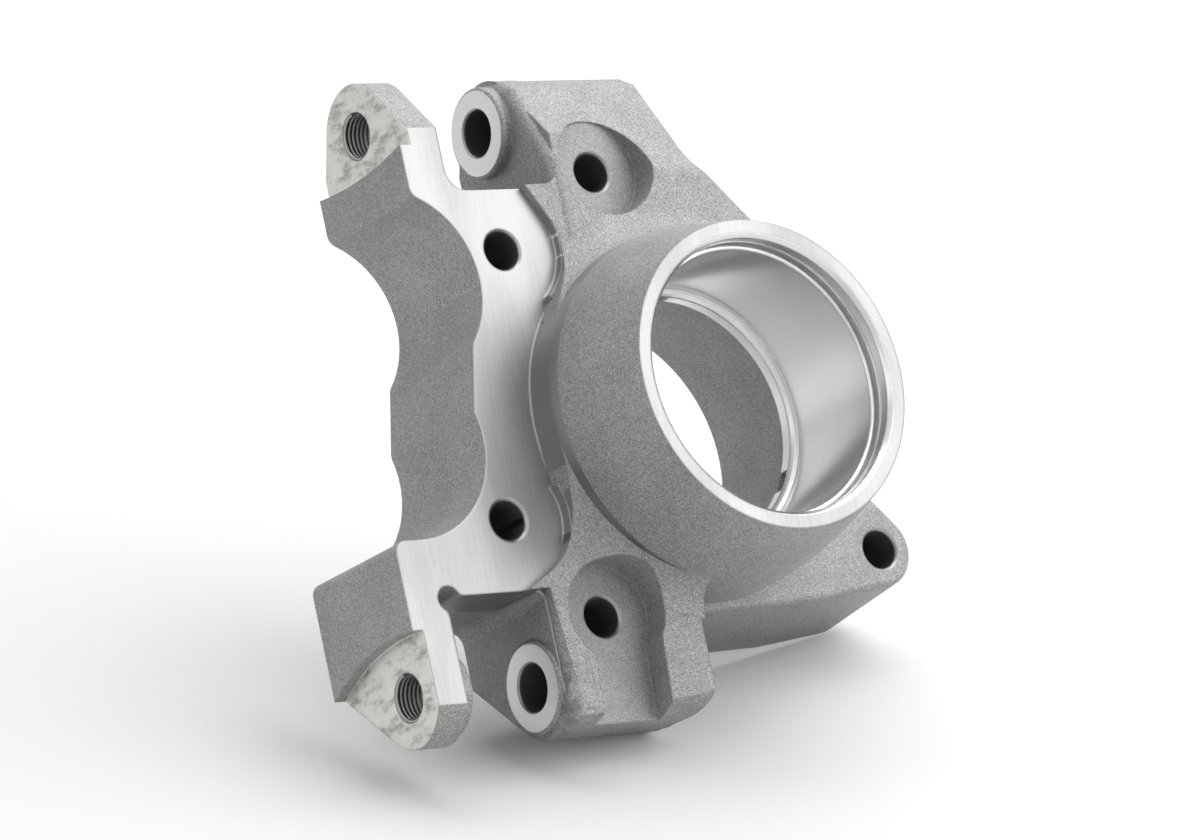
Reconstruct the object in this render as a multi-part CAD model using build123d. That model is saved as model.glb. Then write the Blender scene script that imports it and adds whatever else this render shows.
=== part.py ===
from build123d import *
from math import cos, radians, sin, sqrt, tan
import os

# Frame: origin on the hub axis at the middle of the bearing seat.
# +Y points outboard along the hub axis, +Z up, +X towards the two threaded ears.
# Depths are measured inboard from the machined rim face.

# Hub bore
seat_radius = 42.0
seat_length = 39.0
seat_lead = 0.5
groove_width = 2.7
groove_radius = 45.2
mouth_length = 5.1
mouth_radius = 43.4
mouth_chamfer = 1.4
shoulder_radius = 39.6
shoulder_length = 5.0
shoulder_lead = 1.2
relief_notch_width = 7.5
relief_notch_depth = 1.9
relief_notch_length = 3.5
relief_notch_count = 3
relief_notch_angle = 92.0
core_front_radius = 40.4
core_back_radius = 46.7

# Barrel outside
rim_radius = 48.85
barrel_middle_radius = 52.4
barrel_middle_depth = 13.0
barrel_waist_radius = 56.4
barrel_waist_depth = 34.0
barrel_back_radius = 57.0
skirt_radius = 10.0

# Levels
caliper_face_depth = 48.0
section_depth = 47.5
pad_depth = 51.0
block_front_depth = 42.8
lug_depth = 54.0

# Caliper face, with its two bolts on one radius from the hub axis
caliper_angle = 12.56
caliper_bolt_radius = 78.6
caliper_bolt_pitch = 86.9
bolt_hole_radius = 6.05
bolt_hole_chamfer = 0.9
relief_hub_radius = 56.7
relief_bolt_radius = 19.7
scallop_radius = 30.0
scallop_reach = 73.3
scallop_pitch = 51.0
land_reach = 77.0

# Clevises
pivot_hole_radius = 7.25
thread_hole_radius = 7.0
pivot_hole_chamfer = 0.7
boss_face_radius = 13.2
boss_edge_radius = 1.2
clevis_gap = 30.8
ear_thickness = 14.4
ear_web = 10.8
ear_boss_radius = 12.8
ear_cast_step = 3.75
upper_pivot_depth = 74.8
upper_pivot_z = 103.0
upper_boss_x = 35.1
upper_nose_radius = 16.3
upper_gap_root_z = 76.1
lower_pivot_depth = 62.4
lower_pivot_z = -77.1
lower_boss_x = 67.3
lower_nose_radius = 15.6
lower_gap_root_z = -50.4
gap_root_radius = 7.0
gap_notch_radius = 3.9

# Blocks behind the pads
block_draft = 3.0
block_front_tilt = 5.0
block_edge_radius = 3.5
block_spare = 6.0
upper_block_width = 52.0
upper_boss_stand = 4.0
upper_slope = 27.5
upper_slope_start_z = 83.0
upper_crown_z = 117.8
lower_block_width = 51.0
lower_boss_stand = 1.8
lower_corner_radius = 12.0
spotface_radius = 12.5
pivot_grip = 48.0

# Trailing-arm pads and lug
pad_recess_radius = 16.5
upper_pad_x = 12.4
upper_pad_z = 81.6
lower_pad_x = 44.4
lower_pad_z = -59.4
lower_slot_width = 24.0
lower_slot_left_x = 30.0
lug_x = -69.2
lug_z = -43.8
lug_radius = 11.8
lug_width = 15.0
arm_bottom_z = -58.3
arm_rise = 8.0
arm_draft = 6.0
arm_edge_radius = 2.0

# Bracket edges and blends
bracket_stock = 3.0
relief_upper_x = 43.0
relief_lower_x = 72.8
bracket_corner_radius = 4.0
relief_root_radius = 2.5
junction_radius = 6.0

# Places worked out from the sizes above
seat_front_y = seat_length / 2
shoulder_y = -seat_length / 2
groove_front_y = seat_front_y + groove_width
rim_y = groove_front_y + mouth_length
caliper_y = rim_y - caliper_face_depth
back_y = caliper_y - section_depth
pad_y = rim_y - pad_depth
block_y = rim_y - block_front_depth
lug_y = rim_y - lug_depth
upper_pivot_y = rim_y - upper_pivot_depth
lower_pivot_y = rim_y - lower_pivot_depth
upper_ear_x = upper_boss_x + clevis_gap + ear_thickness
lower_ear_x = lower_boss_x + clevis_gap + ear_thickness
upper_head_x = upper_boss_x - pivot_grip
lower_head_x = lower_boss_x - pivot_grip
caliper_bolt_reach = sqrt(caliper_bolt_radius**2 - (caliper_bolt_pitch / 2) ** 2)


def on_caliper(reach, along):
    # X and Z of a point given along the caliper's radius and across it
    a = radians(caliper_angle)
    return (reach * cos(a) - along * sin(a), reach * sin(a) + along * cos(a))


def prism(sketch, front_y, depth, taper=0):
    # an X-Z outline extruded inboard
    across_hub = Plane(origin=(0, front_y, 0), x_dir=(1, 0, 0), z_dir=(0, -1, 0))
    return extrude(across_hub * sketch, amount=depth, taper=taper)


def bar(sketch, start_x, length):
    # a Y-Z outline extruded towards +X
    across_pivot = Plane(origin=(start_x, 0, 0), x_dir=(0, 1, 0), z_dir=(1, 0, 0))
    return extrude(across_pivot * sketch, amount=length)


def rod_y(x, z, radius, front_y, depth):
    return prism(Pos(x, z) * Circle(radius), front_y, depth)


def rod_x(y, z, radius, start_x, length):
    return bar(Pos(y, z) * Circle(radius), start_x, length)


def turned(points):
    # a radius-Y outline turned about the hub axis
    face = make_face(Polyline(*points, close=True))
    return revolve(face, Axis.Y)


def outline(points, radius=0):
    if radius:
        return make_face(FilletPolyline(*points, radius=radius, close=True))
    return make_face(Polyline(*points, close=True))


def barrel():
    flank = Spline(
        (rim_radius, rim_y),
        (barrel_middle_radius, rim_y - barrel_middle_depth),
        (barrel_waist_radius, rim_y - barrel_waist_depth),
        (barrel_back_radius, caliper_y),
    )
    rest = Polyline(
        (barrel_back_radius, caliper_y),
        (barrel_back_radius, back_y),
        (0, back_y),
        (0, rim_y),
        (rim_radius, rim_y),
    )
    return revolve(make_face(flank + rest), Axis.Y)


def block_body(side_profile, plan, pad_x):
    # drafted block, cut to its side profile and to a front that leans back towards the ears
    body = prism(plan, block_y + block_spare, section_depth + block_spare + 6, taper=block_draft)
    lean = Rot(0, 0, -block_front_tilt)
    front = Pos(pad_x, block_y, 0) * lean * Pos(0, -150, 0) * Box(400, 300, 400)
    return body & bar(side_profile, -100, 220) & front


def soften(body, low_z, high_z):
    # rounds the front and end edges of the wall that faces the ears
    wall = body.faces().sort_by(lambda face: face.normal_at().X)[-1]
    edges = [edge for edge in wall.edges() if edge.center().Y > back_y + 0.5]
    edges = [edge for edge in edges if low_z < edge.center().Z < high_z]
    return fillet(edges, block_edge_radius)


def upper_block():
    rise = upper_pivot_depth - block_front_depth + block_spare
    wall_x = upper_boss_x - upper_boss_stand + rise * tan(radians(block_draft))
    far_x = wall_x - upper_block_width
    plan = outline(
        [
            (wall_x, 20),
            (wall_x, 140),
            (far_x + 3, 140),
            (far_x, upper_pad_z),
            (far_x - 20, 56),
            (far_x - 20, 20),
        ],
        radius=[0, 0, 0, 16, 14, 0],
    )
    slope_run = (upper_crown_z - upper_slope_start_z) * tan(radians(upper_slope))
    crown = Polyline(
        (block_y + block_spare, 20),
        (block_y + block_spare, upper_slope_start_z - block_spare / tan(radians(upper_slope))),
        (block_y - slope_run + 3, upper_crown_z - 5.5),
        (block_y - slope_run - 3, upper_crown_z - 1.5),
        (back_y, upper_pivot_z - 9),
        (back_y, 20),
        close=True,
    )
    nose = Pos(upper_pivot_y, upper_pivot_z) * Circle(upper_nose_radius - 0.6)
    side = make_hull(nose.edges() + crown.edges())
    body = soften(block_body(side, plan, upper_pad_x), 25, 200)
    return body + boss(upper_pivot_y, upper_pivot_z, upper_boss_x, upper_boss_stand)


def lower_block():
    rise = lower_pivot_depth - block_front_depth + block_spare
    wall_x = lower_boss_x - lower_boss_stand + rise * tan(radians(block_draft))
    far_x = wall_x - lower_block_width
    bottom_z = lower_pivot_z - lower_nose_radius
    plan = outline(
        [(wall_x, 0), (wall_x, bottom_z - 4), (far_x, bottom_z - 4), (far_x, 0)],
        radius=[0, 5, lower_corner_radius, 0],
    )
    side = outline(
        [
            (block_y + block_spare, 0),
            (block_y + block_spare, bottom_z),
            (lower_pivot_y - 9, bottom_z),
            (back_y, lower_pivot_z + 8.5),
            (back_y, 0),
        ],
        radius=[0, 15, 13, 3, 0],
    )
    body = soften(block_body(side, plan, lower_pad_x), -200, -5)
    return body + boss(lower_pivot_y, lower_pivot_z, lower_boss_x, lower_boss_stand)


def boss(pivot_y, pivot_z, face_x, stand):
    # round boss on a pivot, its cast edge rolled to the machined face
    body = rod_x(pivot_y, pivot_z, boss_face_radius + boss_edge_radius, face_x - stand - 8, stand + 8)
    return fillet(body.edges().sort_by(Axis.X)[-1], boss_edge_radius - 0.01)


def bracket():
    # the C-shaped bracket with both ears, before the scallops are cut
    upper_wall_x = upper_boss_x - upper_boss_stand
    lower_wall_x = lower_boss_x - lower_boss_stand
    upper_cast_x = upper_ear_x + ear_cast_step
    lower_cast_x = lower_ear_x + ear_cast_step
    upper_inner_x = upper_ear_x - ear_web
    lower_inner_x = lower_ear_x - ear_web
    plan = outline(
        [
            (20, 140),
            (upper_wall_x - 1, 140),
            (upper_wall_x - 1, upper_gap_root_z),
            (upper_inner_x, upper_gap_root_z),
            (upper_inner_x, 140),
            (upper_cast_x, 140),
            (upper_cast_x, upper_gap_root_z - 8),
            (lower_cast_x, upper_gap_root_z - 8),
            (lower_cast_x, -130),
            (lower_inner_x, -130),
            (lower_inner_x, lower_gap_root_z),
            (lower_wall_x, lower_gap_root_z),
            (lower_wall_x, -130),
            (20, -130),
        ],
        radius=[0, 0, gap_root_radius, gap_root_radius, 0, 0, 0, 0, 0, 0, 0, 5, 0, 0],
    )
    notch = Pos(lower_inner_x - 1, lower_gap_root_z - 0.6)
    plan = plan - notch * Circle(gap_notch_radius)
    corners = [v for v in plan.vertices() if abs(Vector(v) - notch.position) < gap_notch_radius + 0.1]
    front_y = caliper_y + bracket_stock
    body = prism(fillet(corners, 2.5), front_y, front_y - back_y)
    upper_nose = Pos(upper_pivot_y, upper_pivot_z) * Circle(upper_nose_radius)
    lower_nose = Pos(lower_pivot_y, lower_pivot_z) * Circle(lower_nose_radius)
    middle = Polyline(
        (front_y, upper_pivot_z - 10),
        (front_y, lower_pivot_z),
        (back_y, lower_pivot_z + 8),
        (back_y, upper_pivot_z - 8),
        close=True,
    )
    side = make_hull(upper_nose.edges() + lower_nose.edges() + middle.edges())
    return body & bar(side, 0, 140)


def ear_boss(pivot_y, pivot_z, outer_x):
    return rod_x(pivot_y, pivot_z, ear_boss_radius, outer_x - ear_thickness, ear_thickness - ear_web + 1)


def arm():
    lug = Pos(lug_x, lug_z) * Circle(lug_radius)
    root = Polyline((-56, -11), (0, 0), (16, arm_bottom_z - 1.5), (-45, arm_bottom_z), close=True)
    plan = make_hull(lug.edges() + root.edges())
    body = prism(plan, lug_y, lug_y - back_y, taper=-arm_draft)
    front = body.faces().sort_by(lambda face: face.normal_at().Y)[-1]
    return fillet(front.edges(), arm_edge_radius)


def bore():
    core_front_y = shoulder_y - shoulder_length
    return turned(
        [
            (0, rim_y + 1),
            (mouth_radius + mouth_chamfer + 1, rim_y + 1),
            (mouth_radius + mouth_chamfer, rim_y),
            (mouth_radius, rim_y - mouth_chamfer),
            (mouth_radius, groove_front_y),
            (groove_radius, groove_front_y),
            (groove_radius, seat_front_y),
            (seat_radius + seat_lead, seat_front_y),
            (seat_radius, seat_front_y - seat_lead),
            (seat_radius, shoulder_y),
            (shoulder_radius + shoulder_lead, shoulder_y),
            (shoulder_radius, shoulder_y - shoulder_lead),
            (shoulder_radius, core_front_y),
            (core_front_radius, core_front_y),
            (core_back_radius, back_y),
            (core_back_radius, back_y - 1),
            (0, back_y - 1),
        ]
    )


def scallops():
    # the C-shaped cut-out, two scallops with a land between them
    half = scallop_pitch / 2
    centre_reach = scallop_reach + scallop_radius
    upper = on_caliper(centre_reach, half)
    lower = on_caliper(centre_reach, -half)
    far_x = lower_ear_x + 60
    gap = outline(
        [
            upper,
            on_caliper(land_reach, half),
            on_caliper(land_reach, -half),
            lower,
            (lower[0], lower[1] - scallop_radius),
            (far_x, lower[1] - scallop_radius),
            (far_x, upper[1] + scallop_radius),
            (upper[0], upper[1] + scallop_radius),
        ]
    )
    plan = gap + Pos(*upper) * Circle(scallop_radius) + Pos(*lower) * Circle(scallop_radius)
    return prism(plan, rim_y, rim_y - back_y + 1)


def caliper_relief():
    # what the cutter clears above the caliper face
    half = caliper_bolt_pitch / 2
    upper = on_caliper(caliper_bolt_reach, half)
    lower = on_caliper(caliper_bolt_reach, -half)
    far_x = lower_ear_x + 20
    outside = outline(
        [
            upper,
            on_caliper(relief_hub_radius * 0.8, half * 0.6),
            on_caliper(relief_hub_radius * 0.8, -half * 0.6),
            lower,
            (far_x, lower[1]),
            (far_x, upper[1]),
        ]
    )
    plan = outside - Circle(relief_hub_radius)
    ends = (
        (upper, relief_upper_x, upper_gap_root_z + 0.5, upper_gap_root_z + 60),
        (lower, relief_lower_x, lower_gap_root_z - 0.5, lower_gap_root_z - 60),
    )
    for centre, corner_x, corner_z, far_z in ends:
        round_end = Pos(*centre) * Circle(relief_bolt_radius)
        path = Polyline(centre, (corner_x, corner_z), (corner_x, far_z), (far_x, far_z), (far_x, centre[1]), close=True)
        plan = plan + make_hull(round_end.edges() + path.edges()[:2])
        plan = plan + make_face(path)
    return prism(plan, rim_y, rim_y - caliper_y)


def ear_face(outer_x, start, middle, end, far_z):
    # the flat milled on an ear's outer side, with its curved end
    curve = ThreePointArc(start, middle, end)
    rest = Polyline(end, (end[0], far_z), (start[0], far_z), start)
    return bar(make_face(curve + rest), outer_x, 20)


def bolt_hole(x, z, front_y):
    hole = rod_y(x, z, bolt_hole_radius, front_y + 1, front_y + 1 - back_y + 1)
    lead = Cone(bolt_hole_radius, bolt_hole_radius + bolt_hole_chamfer, bolt_hole_chamfer)
    front = Pos(x, front_y - bolt_hole_chamfer / 2, z) * Rot(-90, 0, 0) * lead
    back = Pos(x, back_y + bolt_hole_chamfer / 2, z) * Rot(90, 0, 0) * lead
    return hole + front + back


def pivot_hole(y, z, radius, start_x, end_x):
    hole = rod_x(y, z, radius, start_x - 1, end_x - start_x + 2)
    lead = Cone(radius, radius + pivot_hole_chamfer, pivot_hole_chamfer)
    near = Pos(start_x + pivot_hole_chamfer / 2, y, z) * Rot(0, -90, 0) * lead
    far = Pos(end_x - pivot_hole_chamfer / 2, y, z) * Rot(0, 90, 0) * lead
    return hole + near + far


def block_pivot(y, z, boss_x, far_x):
    # bolt hole through the block and the flat for the bolt head on its far side
    hole = pivot_hole(y, z, pivot_hole_radius, far_x, boss_x)
    flat = rod_x(y, z, spotface_radius, far_x - 30, 30)
    return [hole, flat]


def ear_pivot(y, z, outer_x):
    return pivot_hole(y, z, thread_hole_radius, outer_x - ear_thickness, outer_x)


def relief_notches():
    # three notches broken into the back of the shoulder
    width = relief_notch_width
    reach = shoulder_radius + relief_notch_depth
    start_y = shoulder_y - shoulder_length + relief_notch_length
    plan = Pos(reach / 2, 0) * Rectangle(reach, width)
    notch = prism(plan, start_y, relief_notch_length + 1)
    turn = 360 / relief_notch_count
    return [Rot(0, -relief_notch_angle - turn * i, 0) * notch for i in range(relief_notch_count)]


def lower_recess():
    # the lower pad's recess runs out through the bottom of the block
    foot_z = lower_pivot_z - lower_nose_radius - 10
    slot = outline(
        [
            (lower_slot_left_x, lower_pad_z),
            (lower_slot_left_x + 3, foot_z),
            (lower_slot_left_x + lower_slot_width + 3, foot_z),
            (lower_slot_left_x + lower_slot_width, lower_pad_z),
        ]
    )
    plan = Pos(lower_pad_x, lower_pad_z) * Circle(pad_recess_radius) + slot
    return prism(plan, rim_y, rim_y - pad_y)


def build():
    body = barrel() + arm() + upper_block()
    flare = [edge for edge in body.edges() if on_flare(edge)]
    body = fillet(flare, junction_radius)
    body = body + lower_block()
    frame = bracket() - scallops()
    corners = [edge for edge in frame.edges() if on_scallop_corner(edge)]
    body = body + fillet(corners, bracket_corner_radius)
    body = body - caliper_relief()
    body = body + ear_boss(upper_pivot_y, upper_pivot_z, upper_ear_x)
    body = body + ear_boss(lower_pivot_y, lower_pivot_z, lower_ear_x)
    body = body - bore() - relief_notches()
    body = body - rod_y(upper_pad_x, upper_pad_z, pad_recess_radius, rim_y, rim_y - pad_y)
    body = body - lower_recess()
    body = body - ear_face(
        upper_ear_x,
        (caliper_y + 1, upper_pivot_z - 11.5),
        (upper_pivot_y - 5, upper_pivot_z - 15.0),
        (back_y - 1, upper_pivot_z - 13.8),
        upper_pivot_z + 40,
    )
    body = body - ear_face(
        lower_ear_x,
        (caliper_y + 1, lower_pivot_z + 16.8),
        (lower_pivot_y - 5, lower_pivot_z + 17.0),
        (back_y - 1, lower_pivot_z + 7.2),
        lower_pivot_z - 40,
    )
    half = caliper_bolt_pitch / 2
    for x, z in (on_caliper(caliper_bolt_reach, half), on_caliper(caliper_bolt_reach, -half)):
        body = body - bolt_hole(x, z, caliper_y)
    body = body - bolt_hole(upper_pad_x, upper_pad_z, pad_y)
    body = body - bolt_hole(lower_pad_x, lower_pad_z, pad_y)
    body = body - bolt_hole(lug_x, lug_z, lug_y)
    body = body - block_pivot(upper_pivot_y, upper_pivot_z, upper_boss_x, upper_head_x)
    body = body - block_pivot(lower_pivot_y, lower_pivot_z, lower_boss_x, lower_head_x)
    body = body - ear_pivot(upper_pivot_y, upper_pivot_z, upper_ear_x)
    body = body - ear_pivot(lower_pivot_y, lower_pivot_z, lower_ear_x)
    return body


def on_flare(edge):
    # where the barrel meets the leaning front of the upper block
    middle = edge.center()
    return middle.Y > block_y - 1 and middle.Z > barrel_waist_radius - 6 and abs(middle.X) < 20 and edge.length > 50


def on_scallop_corner(edge):
    if abs(edge.tangent_at(0.5).Y) < 0.99:
        return False
    x, z = edge.center().X, edge.center().Z
    outer = x > lower_ear_x and z > lower_gap_root_z + 10
    shoulder = x > upper_ear_x and upper_gap_root_z - 5 < z < upper_gap_root_z + 5
    land = x < land_reach + 4 and 0 < z < land_reach / 2
    return outer or shoulder or land


os.makedirs("parts", exist_ok=True)
knuckle = build()
export_step(knuckle, "parts/knuckle.step")
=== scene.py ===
import bmesh
import bpy
import math
from mathutils import Matrix, Vector


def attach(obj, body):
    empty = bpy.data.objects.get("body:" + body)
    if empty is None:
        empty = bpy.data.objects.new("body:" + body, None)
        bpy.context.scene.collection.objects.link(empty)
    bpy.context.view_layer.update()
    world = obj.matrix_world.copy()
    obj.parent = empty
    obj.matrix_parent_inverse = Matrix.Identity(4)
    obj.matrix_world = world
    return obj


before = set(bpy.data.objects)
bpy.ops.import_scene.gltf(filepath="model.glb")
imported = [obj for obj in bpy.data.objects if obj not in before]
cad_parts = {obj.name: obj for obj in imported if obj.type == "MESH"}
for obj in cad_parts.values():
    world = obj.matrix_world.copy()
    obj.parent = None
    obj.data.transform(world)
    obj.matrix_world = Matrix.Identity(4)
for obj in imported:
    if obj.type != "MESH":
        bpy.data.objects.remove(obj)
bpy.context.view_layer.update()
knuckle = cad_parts["knuckle"]
print("frame loaded:", sorted(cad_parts))

mm = 0.001

cameraView = {
    "place": (1.25590, 1.60910, -0.44090),  # metres, part frame
    "right": (-0.8084, 0.5511, -0.2067),
    "up": (-0.0447, 0.2927, 0.9551),
    "back": (0.5869, 0.7814, -0.2121),
    "lens": 205.08,
    "sensor": 36.0,
    "clip": (0.05, 30.0),
}


def makeObject(name, data):
    thing = bpy.data.objects.new(name, data)
    bpy.context.scene.collection.objects.link(thing)
    return thing


def turnedTo(right, up, back, place):
    turn = Matrix((right, up, back)).transposed().to_4x4()
    return Matrix.Translation(place) @ turn


def addCamera(view):
    data = bpy.data.cameras.new("view")
    data.lens = view["lens"]
    data.sensor_width = view["sensor"]
    data.clip_start, data.clip_end = view["clip"]
    camera = makeObject("view", data)
    camera.matrix_world = turnedTo(view["right"], view["up"], view["back"], view["place"])
    bpy.context.scene.camera = camera


addCamera(cameraView)
print("camera set")


class Wire:
    # one socket of a node tree, with sums written as Python sums
    def __init__(self, tree, socket):
        self.tree = tree
        self.socket = socket

    def maths(self, kind, *numbers):
        return self.tree.add("ShaderNodeMath", {"operation": kind}, dict(enumerate(numbers)))

    def __add__(self, other):
        return self.maths("ADD", self, other)

    def __sub__(self, other):
        return self.maths("SUBTRACT", self, other)

    def __rsub__(self, other):
        return self.maths("SUBTRACT", other, self)

    def __mul__(self, other):
        return self.maths("MULTIPLY", self, other)

    def __pow__(self, other):
        return self.maths("POWER", self, other)

    def __lt__(self, other):
        return self.maths("LESS_THAN", self, other)

    def __gt__(self, other):
        return self.maths("GREATER_THAN", self, other)

    def __or__(self, other):
        return self.maths("MAXIMUM", self, other)

    __radd__ = __add__
    __rmul__ = __mul__

    def near(self, value, slack):  # 1 where this is within slack of value
        return self.maths("COMPARE", self, value, slack)


class NodeWork:
    # a node tree, built by one method for every kind of node
    def __init__(self, tree):
        self.nodes = tree.nodes
        self.links = tree.links
        self.nodes.clear()

    def add(self, kind, settings=None, values=None, out=0):
        node = self.nodes.new(kind)
        for key, value in (settings or {}).items():
            if key == "stops":
                fillRamp(node.color_ramp, value)
            else:
                setattr(node, key, value)
        for key, value in (values or {}).items():
            self.feed(node.inputs[key], value)
        return Wire(self, node.outputs[out])

    def outputs(self, kind, values=None):  # every output of one new node
        first = self.add(kind, {}, values)
        return [Wire(self, socket) for socket in first.socket.node.outputs]

    def end(self, kind, last):  # the tree's output node
        self.feed(self.nodes.new(kind).inputs[0], last)

    def feed(self, socket, value):
        if isinstance(value, Wire):
            self.links.new(value.socket, socket)
        else:
            socket.default_value = value

    def mixed(self, amount, first, second):
        return self.add("ShaderNodeMix", {"data_type": "RGBA"}, {0: amount, 6: first, 7: second}, out=2)

    def ramp(self, amount, stops):
        return self.add("ShaderNodeValToRGB", {"stops": stops}, {0: amount})

    def between(self, amount, low, high):  # 0 at low, 1 at high
        return self.add("ShaderNodeMapRange", {}, {0: amount, 1: low, 2: high})

    def noise(self, where, scale, detail, rough):
        values = {"Vector": where, "Scale": scale, "Detail": detail, "Roughness": rough}
        return self.add("ShaderNodeTexNoise", {}, values)

    def stretched(self, where, sizes, slant):
        return self.add("ShaderNodeMapping", {}, {"Vector": where, "Scale": sizes, "Rotation": (0, slant, 0)})

    def place(self):  # the part's own coordinates in mm
        metres = self.add("ShaderNodeTexCoord", out="Object")
        return self.add("ShaderNodeVectorMath", {"operation": "SCALE"}, {0: metres, "Scale": 1 / mm})


def fillRamp(ramp, stops):
    while len(ramp.elements) > 1:
        ramp.elements.remove(ramp.elements[-1])
    for i, (place, colour) in enumerate(stops):
        stop = ramp.elements[0] if i == 0 else ramp.elements.new(place)
        stop.position = place
        stop.color = colour if len(colour) == 4 else (*colour, 1)


def grey(level):
    return (level, level, level, 1)


def startMaterial(name):
    material = bpy.data.materials.new(name)
    material.use_nodes = True
    return material, NodeWork(material.node_tree)


bolts = {"upper": (54.4, 56.7), "lower": (73.3, -28.1)}  # mm, x and z of the caliper bolts
pads = {"upper": (12.4, 81.6), "lower": (44.4, -59.4)}  # of the round pads in the two blocks
lug = (-69.2, -43.8)  # of the arm's eye
pivots = {"upper": (-47.5, 103.0), "lower": (-35.1, -77.1)}  # y and z of the clevis holes

machining = {  # mm in the part's frame, where the cutters have been
    "rimY": 27.3,
    "caliperY": -20.7,
    "bossX": (35.1, 67.3),
    "earX": (80.3, 112.55),
    "faceSlack": 0.1,
    "square": 0.985,  # a face lies square to an axis where its normal has this much of it
    "reliefRadius": 19.7,  # cutter's path round each bolt
    "hubReliefRadius": 56.7,
    "wallSlack": 0.4,
    "wallFrontY": 20.0,
    "wallFromX": 20.0,
    "wallNormalY": 0.3,  # the walls face sideways
    "gapRootZ": -50.4,  # lower clevis, milled for the first part of its depth
    "gapRootSlack": 1.2,
    "gapRootBackY": -42.7,
    "gapRootFromX": 60.0,
    "gapRootNormalZ": -0.9,
    "boreRadius": 46.0,
    "boreBackY": -24.6,
    "drillRadius": 6.05,
    "drillLead": 1.1,  # chamfer at the mouth
    "pivotRadius": 7.25,
    "pivotLead": 0.9,
    "holeSlack": 0.2,
}


def distance(first, second, a, b):
    across = first - a
    along = second - b
    return (across * across + along * along) ** 0.5


def anyOf(masks):
    answer = 0.0
    for mask in masks:
        answer = mask | answer
    return answer


def findMachining(f, cut, place):
    # a mask for each kind of machined surface
    x, y, z = f.outputs("ShaderNodeSeparateXYZ", {0: place})
    facing = f.add("ShaderNodeNewGeometry", out="Normal")
    nx, ny, nz = f.outputs("ShaderNodeSeparateXYZ", {0: facing})
    axial = distance(x, z, 0, 0)
    slack = cut["faceSlack"]
    flatY = (ny > cut["square"]) | (ny < -cut["square"])
    flatX = (nx > cut["square"]) | (nx < -cut["square"])
    rim = flatY * y.near(cut["rimY"], slack)
    caliper = flatY * y.near(cut["caliperY"], slack)
    bosses = anyOf(flatX * x.near(level, slack) for level in cut["bossX"])
    ears = anyOf(flatX * x.near(level, slack) for level in cut["earX"])

    walls = axial.near(cut["hubReliefRadius"], cut["wallSlack"]) * (y < cut["wallFrontY"])
    for bolt in bolts.values():
        walls = walls | distance(x, z, *bolt).near(cut["reliefRadius"], cut["wallSlack"])
    walls = walls * (y > cut["caliperY"] - slack) * (ny < cut["wallNormalY"]) * (x > cut["wallFromX"])
    root = (nz < cut["gapRootNormalZ"]) * z.near(cut["gapRootZ"], cut["gapRootSlack"])
    root = root * (y > cut["gapRootBackY"]) * (x > cut["gapRootFromX"])

    holes = 0.0
    leads = 0.0
    behind = y < cut["caliperY"] + slack  # every hole along Y starts at or behind the caliper face
    for middle in (*bolts.values(), *pads.values(), lug):
        reach = distance(x, z, *middle)
        holes = (reach < cut["drillRadius"] + cut["holeSlack"]) * behind | holes
        leads = (reach < cut["drillRadius"] + cut["drillLead"]) * (1 - flatY) * behind | leads
    for middle in pivots.values():
        reach = distance(y, z, *middle)
        holes = (reach < cut["pivotRadius"] + cut["holeSlack"]) | holes
        leads = (reach < cut["pivotRadius"] + cut["pivotLead"]) * (1 - flatX) | leads
    turned = (axial < cut["boreRadius"]) * (y > cut["boreBackY"]) * (1 - rim)
    bright = rim | caliper | bosses | walls | root | leads * (1 - holes)
    return {"bosses": bosses, "ears": ears, "holes": holes, "turned": turned, "bright": bright}


castMetal = {
    "grain": (1 / 0.37, 1.5, 0.55),  # blasted dimples 0.37 mm across, then detail and roughness
    "pits": (1 / 1.1, 2.0, 0.6),
    "patches": (1 / 20.0, 4.0, 0.6),
    "speckle": (0.70, 0.17, 0.13),  # shares of grain, pits and patches
    "castTones": (
        (0.36, (0.19, 0.19, 0.193)),
        (0.5, (0.335, 0.335, 0.333)),
        (0.66, (0.56, 0.56, 0.552)),
    ),
    "dirtColour": (0.15, 0.14, 0.125, 1),
    "dirtPlace": (65.0, -82.0),  # x, z beside the lower boss
    "dirtReach": (17.0, 6.0),  # mm from there, from clean to full
    "dirtSmears": (0.50, 0.66),
    "dirtAmount": 0.55,
    "strokes": (1.6, 2.0, 0.55),
    "strokeDraw": ((0.9, 0.9, 0.06), 0.62),  # the mill's strokes, how drawn out and how slanted
    "sheen": (1.0, 1.0, 0.5),
    "sheenDraw": ((0.05, 0.03, 0.016), 0.35),
    "cut": (0.25, 0.75),  # shares of strokes and sheen
    "milledTones": ((0.34, grey(0.29)), (0.62, grey(0.40))),
    "rings": (1.3, 2.0, 0.5),
    "ringRise": 6.0,  # the rings are this much finer along the bore
    "turnedShares": (0.5, 0.5),  # of rings and patches
    "turnedTones": (grey(0.62), grey(0.88)),
    "smears": (1.0, 5.0, 0.7),
    "smearDraw": ((0.16, 0.10, 0.22), 0.0),
    "earTones": (
        (0.36, (0.40, 0.385, 0.36)),
        (0.50, (0.70, 0.69, 0.665)),
        (0.70, (0.78, 0.77, 0.75)),
    ),
    "bossTone": grey(0.80),
    # painted shade: the drilled holes' walls are coloured near black for the shade that falls deep inside
    # them
    "paintedHoleShade": grey(0.10),
    "softEdge": 0.0011,  # metres, rounding left by the sand mould
    "edgeSamples": 6,
    "reliefDepth": 0.00016,  # metres
    "reliefStrength": 0.8,
    "relief": {"grain": 0.7, "pits": 0.5, "tool": 0.05},
    "metallic": 0.45,
    "machinedMetallic": 0.5,  # added where machined
    "roughness": 0.60,
    "gloss": {"bright": 0.28, "turned": 0.36, "ears": 0.12, "cut": 0.12},
}


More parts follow.
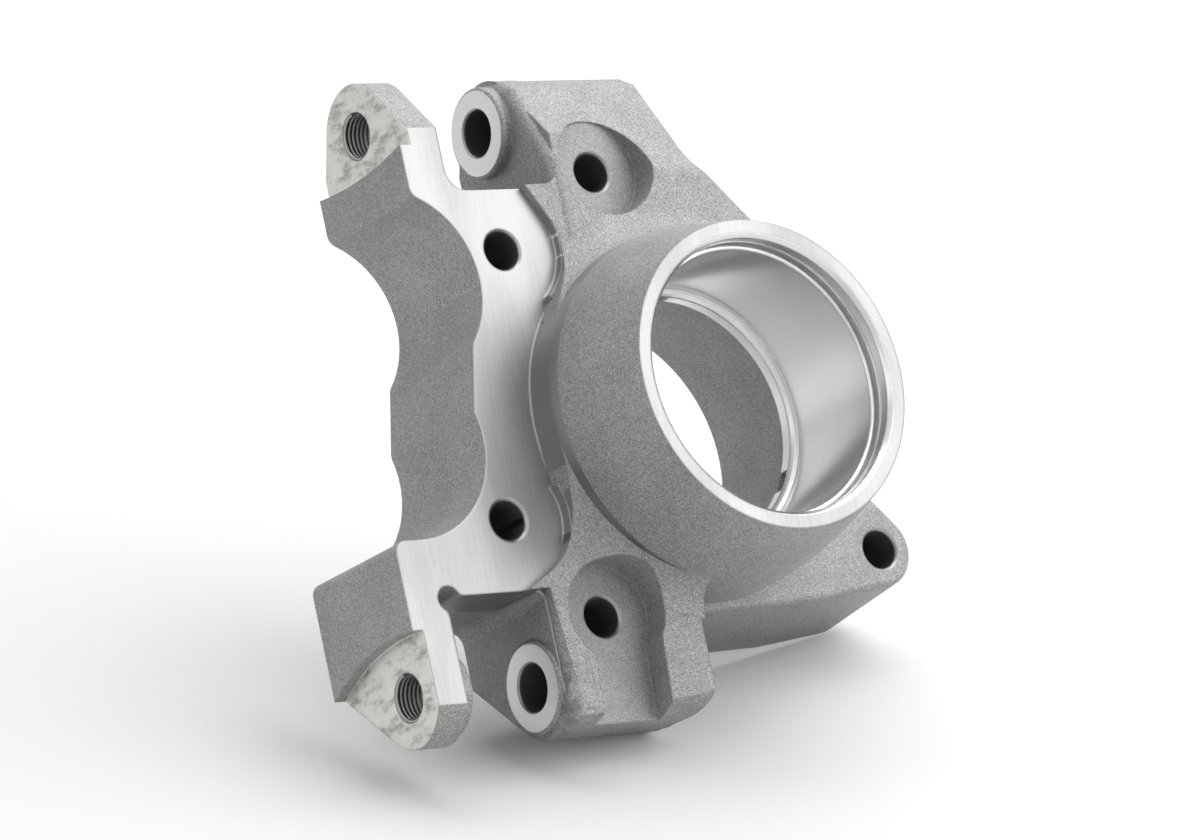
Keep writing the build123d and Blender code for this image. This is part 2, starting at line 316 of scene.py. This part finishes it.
def makeCastMetal(look, cut):
    material, f = startMaterial("castAndMilledAluminium")
    place = f.place()
    x, y, z = f.outputs("ShaderNodeSeparateXYZ", {0: place})
    at = findMachining(f, cut, place)

    grain = f.noise(place, *look["grain"])
    pits = f.noise(place, *look["pits"])
    patches = f.noise(place, *look["patches"])
    fine, coarse, broad = look["speckle"]
    castShade = f.ramp(grain * fine + pits * coarse + patches * broad, look["castTones"])
    smears = f.noise(f.stretched(place, *look["smearDraw"]), *look["smears"])
    dirtPlace = f.between(distance(x, z, *look["dirtPlace"]), *look["dirtReach"])
    dirt = f.between(smears, *look["dirtSmears"]) * dirtPlace * look["dirtAmount"]
    castShade = f.mixed(dirt, castShade, look["dirtColour"])

    strokes = f.noise(f.stretched(place, *look["strokeDraw"]), *look["strokes"])
    sheen = f.noise(f.stretched(place, *look["sheenDraw"]), *look["sheen"])
    strokeShare, sheenShare = look["cut"]
    milling = strokes * strokeShare + sheen * sheenShare
    milledShade = f.ramp(milling, look["milledTones"])
    along = f.add("ShaderNodeCombineXYZ", {}, {0: distance(x, z, 0, 0), 1: y * look["ringRise"]})
    rings = f.noise(along, *look["rings"])
    ringShare, patchShare = look["turnedShares"]
    turnedShade = f.mixed(rings * ringShare + patches * patchShare, *look["turnedTones"])

    shade = f.mixed(at["bright"], castShade, milledShade)
    shade = f.mixed(at["bosses"], shade, look["bossTone"])
    shade = f.mixed(at["ears"], shade, f.ramp(smears, look["earTones"]))
    shade = f.mixed(at["turned"], shade, turnedShade)
    # the holes' walls get painted shade, standing in for the shade inside the bores
    shade = f.mixed(at["holes"], shade, look["paintedHoleShade"])

    machined = at["bright"] | at["ears"] | at["turned"] | at["holes"]
    rise = look["relief"]
    castRise = (grain * rise["grain"] + pits * rise["pits"]) * (1 - machined)
    toolRise = (strokes * at["bright"] + rings * at["turned"]) * rise["tool"]
    soft = f.add("ShaderNodeBevel", {"samples": look["edgeSamples"]}, {"Radius": look["softEdge"]})
    bump = {"Strength": look["reliefStrength"], "Distance": look["reliefDepth"]}
    relief = f.add("ShaderNodeBump", {}, {**bump, "Height": castRise + toolRise, "Normal": soft})

    gloss = look["gloss"]
    roughness = look["roughness"] - at["bright"] * gloss["bright"] - at["turned"] * gloss["turned"]
    roughness = roughness - at["ears"] * gloss["ears"] + milling * at["bright"] * gloss["cut"]
    metallic = look["metallic"] + (at["bright"] | at["turned"] | at["ears"]) * look["machinedMetallic"]
    surface = {"Base Color": shade, "Metallic": metallic, "Roughness": roughness, "Normal": relief}
    f.end("ShaderNodeOutputMaterial", f.add("ShaderNodeBsdfPrincipled", {}, surface))
    return material


castAluminium = makeCastMetal(castMetal, machining)
knuckle.material_slots[0].material = castAluminium
print("casting finished")


def solidMesh(rings, turning=False):
    # a closed solid from equal rings of points, capped at both ends or joined end to start
    build = bmesh.new()
    rows = [[build.verts.new(point) for point in ring] for ring in rings]
    count = len(rows[0])
    for i in range(len(rows) if turning else len(rows) - 1):
        low, high = rows[i], rows[(i + 1) % len(rows)]
        for k in range(count):
            build.faces.new((low[k], low[(k + 1) % count], high[(k + 1) % count], high[k]))
    if not turning:
        build.faces.new(rows[0])
        build.faces.new(rows[-1][::-1])
    bmesh.ops.recalc_face_normals(build, faces=build.faces)
    mesh = bpy.data.meshes.new("solid")
    build.to_mesh(mesh)
    build.free()
    return mesh


def arcPoints(x, z, radius, start, end, steps=14):
    answer = []
    for k in range(steps + 1):
        a = math.radians(start + (end - start) * k / steps)
        answer.append((x + radius * math.cos(a), z + radius * math.sin(a)))
    return answer


def alongY(outline, frontY, backY, lean=0.0, leanX=0.0):
    # an x-z outline drawn inboard, its front leaning with x
    front = [(x, frontY - lean * (x - leanX), z) for x, z in outline]
    back = [(x, backY, z) for x, z in outline]
    return makeObject("prism", solidMesh([front, back]))


def turnedSolid(profile, lean, leanX, steps):
    # a radius-y outline turned about the hub, then leaned like the block's front
    rings = []
    for k in range(steps):
        a = 2 * math.pi * k / steps
        spoke = [(r * math.cos(a), y, r * math.sin(a)) for r, y in profile]
        rings.append([(x, y - lean * (x - leanX), z) for x, y, z in spoke])
    return makeObject("turned", solidMesh(rings, turning=True))


def settled(thing):
    # the modifiers' result becomes a plain mesh
    drawn = bpy.context.evaluated_depsgraph_get()
    mesh = bpy.data.meshes.new_from_object(thing.evaluated_get(drawn), depsgraph=drawn)
    thing.modifiers.clear()
    thing.data = mesh
    return thing


def combined(base, tool, kind):
    change = base.modifiers.new("change", "BOOLEAN")
    change.operation = kind
    change.solver = "EXACT"
    change.object = tool
    settled(base)
    bpy.data.objects.remove(tool)
    return base


def finished(piece, name, finish):
    piece.name = name
    piece.data.name = name
    piece.data.transform(Matrix.Diagonal((mm, mm, mm, 1)))
    piece.data.materials.clear()
    piece.data.materials.append(finish)
    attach(piece, "root")
    return piece


castBlends = {  # mm in the part's frame, cast metal that the solid's blends lack
    "frontY": -15.5,
    "lean": 0.0875,  # how far both block fronts lean back per mm of x from the pad
    "rootY": -24.3,
    "reliefRadius": machining["reliefRadius"],
    "padY": -23.7,
    "padRadius": 16.5,
    "padSides": 45,
    "padGap": 0.1,  # the shoulder stays this far from the pad's recess
    "wallRound": 3.0,
    "wallSlack": 0.2,  # the wall's two corners stand this close to one x
    "roundSteps": 5,
    "shoulderProud": 0.04,  # over the solid's own front
    "innerRadius": 50.5,  # inside the barrel's wall
    "barrelRadius": 55.7,
    "flare": 11.0,
    "flareSteps": 12,
    "flareProud": 0.03,
    "skirt": 6.0,  # how far the flare reaches behind the front
    "turnSteps": 160,
    "cutFrontY": 20.0,
    "cutBackY": -40.0,
    "lower": {
        "bolt": bolts["lower"],
        "boltArc": (-121.5, -187.5),
        "corner": (72.8, -50.6),
        "pad": pads["lower"],
        "turn": ((55.9, -9.0), (48.0, -12.0), (49.5, -38.0)),
        "padArc": (60.0, -38.0),
        "wall": ((57.6, -89.0), (65.8, -89.0), (65.9, -50.6)),
        "ground": ((61.0, -52.0), (61.0, -88.0), (14.6, -88.0), (14.6, -20.0), (46.0, -8.0), (56.2, -7.4)),
    },
    "upper": {
        "bolt": bolts["upper"],
        "boltArc": (150.6, 212.7),
        "corner": (43.0, 76.6),
        "pad": pads["upper"],
        "turn": ((46.5, 32.5), (38.0, 33.0), (31.0, 48.0)),
        "padArc": None,
        "wall": ((33.2, 56.5), (33.2, 76.6)),
        "ground": ((33.5, 76.0), (-16.0, 76.0), (-24.0, 66.0), (-24.0, 30.0), (40.0, 26.0), (47.7, 30.6)),
    },
}


def roundWall(shoulder, wallX, form):
    # a mould's rounding along the wall's front edge
    edges = shoulder.data.edges
    points = [v.co for v in shoulder.data.vertices]
    weights = shoulder.data.attributes.new("bevel_weight_edge", "FLOAT", "EDGE")
    for i, edge in enumerate(edges):
        ends = [points[k] for k in edge.vertices]
        weights.data[i].value = all(abs(p.x - wallX) < form["wallSlack"] and p.y > form["padY"] for p in ends)
    rounding = shoulder.modifiers.new("rounding", "BEVEL")
    rounding.limit_method = "WEIGHT"
    rounding.width = form["wallRound"]
    rounding.segments = form["roundSteps"]
    return settled(shoulder)


def makeShoulder(form, block):
    # the cast ground beside a caliper bolt, out to the path of the cutter
    plan = [block["corner"]] + arcPoints(*block["bolt"], form["reliefRadius"], *block["boltArc"])
    plan = plan + list(block["turn"])
    if block["padArc"]:
        plan = plan + arcPoints(*block["pad"], form["padRadius"] + form["padGap"], *block["padArc"])
    plan = plan + list(block["wall"])
    frontY = form["frontY"] + form["shoulderProud"]
    shoulder = alongY(plan, frontY, form["rootY"], form["lean"], block["pad"][0])
    return roundWall(shoulder, block["wall"][-1][0], form)


def makeFlare(form, block):
    # the broad hollow blend where the barrel runs into a block's front
    wide = form["flare"]
    bottomY = form["frontY"] - form["skirt"]
    profile = [(form["innerRadius"], bottomY), (form["innerRadius"], form["frontY"] + wide)]
    for k in range(form["flareSteps"] + 1):
        a = math.pi / 2 * k / form["flareSteps"]
        y = form["frontY"] + wide * (1 - math.sin(a)) + form["flareProud"]
        profile.append((form["barrelRadius"] + wide * (1 - math.cos(a)), y))
    profile.append((form["barrelRadius"] + wide, bottomY))
    ring = turnedSolid(profile, form["lean"], block["pad"][0], form["turnSteps"])

    start, end = block["boltArc"]
    cutter = arcPoints(*block["bolt"], form["reliefRadius"], end, start)
    ground = cutter + [block["corner"]] + list(block["ground"])
    ring = combined(ring, alongY(ground, form["cutFrontY"], form["cutBackY"]), "INTERSECT")
    sides = form["padSides"]
    recess = arcPoints(*block["pad"], form["padRadius"], 0, 360 - 360 / sides, sides - 1)
    return combined(ring, alongY(recess, form["cutFrontY"], form["padY"]), "DIFFERENCE")


for side in ("lower", "upper"):
    finished(makeShoulder(castBlends, castBlends[side]), side + "_relief_shoulder", castAluminium)
    finished(makeFlare(castBlends, castBlends[side]), side + "_barrel_flare", castAluminium)
print("cast blends added")

earThread = {
    "radius": 7.0,
    "depth": 0.72,  # how far the ridge stands in from the wall
    "pitch": 1.5,
    "length": 12.0,
    "inset": 0.3,  # the ridge starts this far inside the mouth
    "sides": 3,
    "turnSteps": 40,
    "mouths": {
        "upper_ear_thread": (machining["earX"][0], *pivots["upper"]),
        "lower_ear_thread": (machining["earX"][1], *pivots["lower"]),
    },
    "wear": (1.2, 2.0, 0.5),
    "tones": (grey(0.34), grey(0.52)),
    "metallic": 0.9,
    "roughness": (0.3, 0.15),  # least, and what wear adds
}


def makeThreadTree(sizes):
    # one helical ridge of triangular section, rising along Z
    tree = bpy.data.node_groups.new("threadRidge", "GeometryNodeTree")
    for name in ("Radius", "Depth", "Pitch", "Length"):
        socket = tree.interface.new_socket(name, in_out="INPUT", socket_type="NodeSocketFloat")
        socket.default_value = sizes[name.lower()]
    tree.interface.new_socket("Finish", in_out="INPUT", socket_type="NodeSocketMaterial")
    tree.interface.new_socket("Geometry", in_out="OUTPUT", socket_type="NodeSocketGeometry")
    g = NodeWork(tree)
    radius, depth, pitch, length, finish = g.outputs("NodeGroupInput")[:5]
    turns = g.add("ShaderNodeMath", {"operation": "DIVIDE"}, {0: length, 1: pitch})
    course = {"Resolution": sizes["turnSteps"], "Rotations": turns, "Height": length}
    helix = g.add("GeometryNodeCurveSpiral", {}, {**course, "Start Radius": radius, "End Radius": radius})
    upright = g.add("GeometryNodeSetCurveNormal", {"mode": "Z_UP"}, {"Curve": helix})
    section = g.add("GeometryNodeCurvePrimitiveCircle", {}, {"Resolution": sizes["sides"], "Radius": depth})
    sweep = {"Curve": upright, "Profile Curve": section, "Fill Caps": True}
    ridge = g.add("GeometryNodeCurveToMesh", {}, sweep)
    real = g.add("GeometryNodeRealizeInstances", {}, {"Geometry": ridge})
    g.end("NodeGroupOutput", g.add("GeometryNodeSetMaterial", {}, {"Geometry": real, "Material": finish}))
    return tree


def setInput(modifier, name, value):
    for item in modifier.node_group.interface.items_tree:
        if item.item_type == "SOCKET" and item.in_out == "INPUT" and item.name == name:
            modifier[item.identifier] = value


def makeThread(name, mouth, sizes, tree, finish):
    piece = makeObject(name, bpy.data.meshes.new(name))
    ridge = piece.modifiers.new("ridge", "NODES")
    ridge.node_group = tree
    for key in ("radius", "depth", "pitch", "length"):
        setInput(ridge, key.capitalize(), sizes[key])
    setInput(ridge, "Finish", finish)
    piece.update_tag()
    settled(piece)
    inwards = Matrix.Rotation(-math.pi / 2, 4, "Y") @ Matrix.Translation((0, 0, sizes["inset"]))
    piece.data.transform(Matrix.Translation(Vector(mouth)) @ inwards)
    return finished(piece, name, finish)


def makeThreadMetal(look):
    material, f = startMaterial("cutThread")
    worn = f.noise(f.place(), *look["wear"])
    least, added = look["roughness"]
    surface = {"Base Color": f.mixed(worn, *look["tones"]), "Roughness": least + worn * added}
    surface["Metallic"] = look["metallic"]
    f.end("ShaderNodeOutputMaterial", f.add("ShaderNodeBsdfPrincipled", {}, surface))
    return material


threadTree = makeThreadTree(earThread)
threadMetal = makeThreadMetal(earThread)
for name, mouth in earThread["mouths"].items():
    makeThread(name, mouth, earThread, threadTree, threadMetal)
print("ear threads cut")

studio = {
    "floorUp": (0.1377, 0.5626, 0.8152),
    "floorDrop": -97.3,  # mm along floorUp, just under the three lowest points
    "floorSize": 6.0,
    "floorGrey": 0.90,
    "floorGlow": 0.06,
    "airLight": 0.20,  # strength on the object, and as the camera and gloss see it
    "airSeen": 1.0,
    "airColour": grey(0.80),
    "middle": (15.0, -20.0, 10.0),
    "lamps": {  # right, up and back of the object as seen, size, strength
        "key": ((1.7, 1.1, 0.6), 2.6, 40.0),
        "top": ((0.1, 1.7, -0.3), 2.0, 27.0),
        "fill": ((-1.2, 0.5, 1.3), 1.4, 6.0),
    },
}


def lookFrom(place, target):
    back = (Vector(place) - Vector(target)).normalized()
    side = Vector(cameraView["up"]).cross(back).normalized()
    return turnedTo(side, back.cross(side), back, place)


def makeFloorPaper(look):
    material, f = startMaterial("paleFloor")
    paper = f.add("ShaderNodeBsdfDiffuse", {}, {"Color": grey(look["floorGrey"])})
    seen = f.add("ShaderNodeLightPath", out="Is Camera Ray")
    glow = f.add("ShaderNodeEmission", {}, {"Color": grey(1.0), "Strength": seen * look["floorGlow"]})
    lit = f.add("ShaderNodeAddShader", {}, {0: paper, 1: glow})
    under = f.add("ShaderNodeNewGeometry", out="Backfacing")
    clear = f.add("ShaderNodeBsdfTransparent")  # views from below look through the floor
    f.end("ShaderNodeOutputMaterial", f.add("ShaderNodeMixShader", {}, {0: under, 1: lit, 2: clear}))
    return material


def addFloor(look):
    up = Vector(look["floorUp"]).normalized()
    side = Vector(cameraView["right"])
    side = (side - up * side.dot(up)).normalized()
    half = look["floorSize"] / 2
    corners = [(-half, -half, 0), (half, -half, 0), (half, half, 0), (-half, half, 0)]
    mesh = bpy.data.meshes.new("floor")
    mesh.from_pydata(corners, [], [(0, 1, 2, 3)])
    mesh.transform(turnedTo(side, up.cross(side), up, up * look["floorDrop"] * mm))
    mesh.materials.append(makeFloorPaper(look))
    makeObject("floor", mesh)


def addLamps(look):
    centre = Vector(look["middle"]) * mm
    right, up, back = (Vector(cameraView[key]) for key in ("right", "up", "back"))
    for name, (way, size, power) in look["lamps"].items():
        data = bpy.data.lights.new(name, "AREA")
        data.shape = "SQUARE"
        data.size = size
        data.energy = power
        lamp = makeObject(name, data)
        lamp.matrix_world = lookFrom(centre + right * way[0] + up * way[1] + back * way[2], centre)


def addWorld(look):
    world = bpy.data.worlds.new("studioAir")
    bpy.context.scene.world = world
    world.use_nodes = True
    f = NodeWork(world.node_tree)
    rays = ("Is Camera Ray", "Is Transmission Ray", "Is Glossy Ray")
    seen = anyOf(f.add("ShaderNodeLightPath", out=ray) for ray in rays)
    strength = {"Value": seen, "To Min": look["airLight"], "To Max": look["airSeen"]}
    level = f.add("ShaderNodeMapRange", {}, strength)
    sky = f.add("ShaderNodeBackground", {}, {"Color": look["airColour"], "Strength": level})
    f.end("ShaderNodeOutputWorld", sky)


addFloor(studio)
addLamps(studio)
addWorld(studio)
bpy.context.scene.view_settings.view_transform = "Standard"
print("studio lit")
